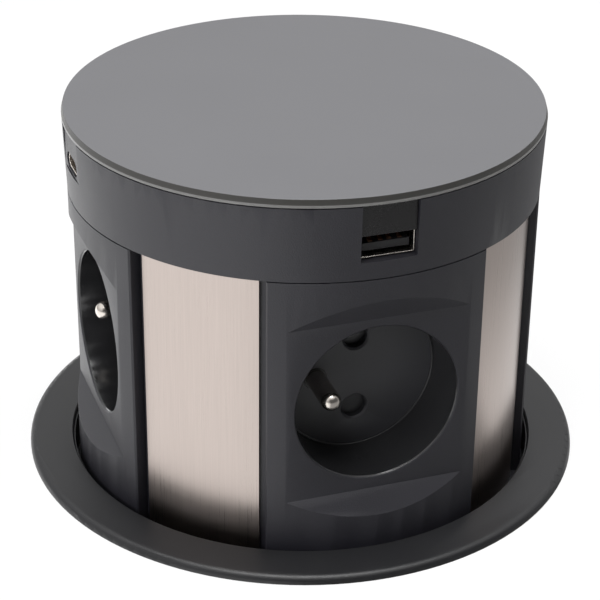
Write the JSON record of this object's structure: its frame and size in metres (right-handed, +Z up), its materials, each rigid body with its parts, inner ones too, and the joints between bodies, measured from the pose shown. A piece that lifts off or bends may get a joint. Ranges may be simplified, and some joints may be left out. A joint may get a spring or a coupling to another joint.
{
  "type": "pop up desk socket",
  "caption": "Round tower of earthed sockets and charging ports that slides up out of a desk through a low flange, with a ring nut clamp below.",
  "frame": {"origin": "on the tower's axis at the desk's surface, which is the flange's underside; the tower stands raised", "axes": "+Z up along the tower's axis; -Y out of the front socket; -X out of the left one"},
  "size_m": [0.1414, 0.1414, 0.251],
  "materials": {
    "flange_plastic": "fine satin grain, moulded",
    "body_plastic": "fine grain, moulded",
    "lid_plastic": "fine grain with a soft sheen",
    "inner_plastic": "as moulded",
    "white_plastic": "as moulded",
    "panel_steel": "brushed lengthwise, warm tint",
    "bright_metal": "nickel plated",
    "spring_steel": "drawn wire",
    "screw_steel": "zinc plated",
    "contact_brass": "stamped",
    "seal_rubber": "matt",
    "board_laminate": "lacquered board"
  },
  "bodies": {
    "housing": {"desk_flange": "flange_plastic", "flange_gasket": "seal_rubber", "guide_ring": "flange_plastic", "barrel": "inner_plastic", "base_cover": "inner_plastic", "base_screws": "screw_steel", "cable_gland_body": "inner_plastic", "cable_gland_seal": "seal_rubber", "cable_gland_nut": "inner_plastic", "terminal_block": "white_plastic", "terminal_screws": "screw_steel", "spring_post": "inner_plastic", "lift_spring": "spring_steel", "damper_rack": "white_plastic", "catch_bracket": "inner_plastic"},
    "tower": {"tower_frame": "body_plastic", "neutral_ring": "contact_brass", "earth_ring": "contact_brass", "line_ring": "contact_brass", "cap_body": "body_plastic", "cap_lid": "lid_plastic", "cap_screws": "screw_steel", "usb_a_bezel": "body_plastic", "usb_a_shell": "bright_metal", "usb_a_tongue": "inner_plastic", "usb_c_bezel": "body_plastic", "usb_c_shell": "bright_metal", "usb_c_tongue": "inner_plastic", "charger_board": "board_laminate", "charger_parts": "inner_plastic", "damper_body": "inner_plastic", "catch_striker": "screw_steel", "socket_face_front": "body_plastic", "earth_pin_front": "bright_metal", "contact_carrier_front": "white_plastic", "line_contacts_front": "contact_brass", "socket_face_right": "body_plastic", "earth_pin_right": "bright_metal", "contact_carrier_right": "white_plastic", "line_contacts_right": "contact_brass", "socket_face_back": "body_plastic", "earth_pin_back": "bright_metal", "contact_carrier_back": "white_plastic", "line_contacts_back": "contact_brass", "socket_face_left": "body_plastic", "earth_pin_left": "bright_metal", "contact_carrier_left": "white_plastic", "line_contacts_left": "contact_brass", "steel_panel_front_right": "panel_steel", "steel_panel_back_right": "panel_steel", "steel_panel_back_left": "panel_steel", "steel_panel_front_left": "panel_steel"},
    "washer": {"clamp_washer": "inner_plastic"},
    "nut": {"ring_nut": "inner_plastic"},
    "damper_gear": {"damper_pinion": "white_plastic"},
    "catch": {"catch_pawl": "white_plastic"},
    "shutter_slide_front": {"shutter_front": "inner_plastic"},
    "shutter_slide_right": {"shutter_right": "inner_plastic"},
    "shutter_slide_back": {"shutter_back": "inner_plastic"},
    "shutter_slide_left": {"shutter_left": "inner_plastic"}
  },
  "joints": [
    {"name": "tower_slide", "type": "slide", "parent": "housing", "child": "tower", "axis": [0, 0, 1], "range_m": [-0.092, 0], "stiffness_N_per_m": 80, "springref_m": 0.2, "deforming": ["lift_spring"]},
    {"name": "nut_turn", "type": "hinge", "parent": "washer", "child": "nut", "pos_m": [0, 0, -0.0365], "axis": [0, 0, 1], "range_deg": [-1440, 1080]},
    {"name": "washer_climb", "type": "slide", "parent": "housing", "child": "washer", "axis": [0, 0, 1], "range_m": [-0.0201, 0.0151]},
    {"name": "damper_spin", "type": "hinge", "parent": "tower", "child": "damper_gear", "pos_m": [0.03076, -0.0251, -0.032], "axis": [0.7071, -0.7071, 0], "range_deg": [-880, 0]},
    {"name": "catch_swing", "type": "hinge", "parent": "housing", "child": "catch", "pos_m": [-0.02899, 0.02899, -0.13], "axis": [0.7071, 0.7071, 0], "range_deg": [0, 22], "stiffness_Nm_per_rad": 0.004, "springref_deg": -8.59},
    {"name": "shutter_front_lift", "type": "slide", "parent": "tower", "child": "shutter_slide_front", "axis": [0, 0, 1], "range_m": [0, 0.007], "stiffness_N_per_m": 50, "springref_m": -0.004},
    {"name": "shutter_right_lift", "type": "slide", "parent": "tower", "child": "shutter_slide_right", "axis": [0, 0, 1], "range_m": [0, 0.007], "stiffness_N_per_m": 50, "springref_m": -0.004},
    {"name": "shutter_back_lift", "type": "slide", "parent": "tower", "child": "shutter_slide_back", "axis": [0, 0, 1], "range_m": [0, 0.007], "stiffness_N_per_m": 50, "springref_m": -0.004},
    {"name": "shutter_left_lift", "type": "slide", "parent": "tower", "child": "shutter_slide_left", "axis": [0, 0, 1], "range_m": [0, 0.007], "stiffness_N_per_m": 50, "springref_m": -0.004}
  ],
  "couplings": [
    {"joint": "damper_spin", "follows": "tower_slide", "rad_per_m": 166.67},
    {"joint": "washer_climb", "follows": "nut_turn", "m_per_rad": 0.00079577}
  ]
}
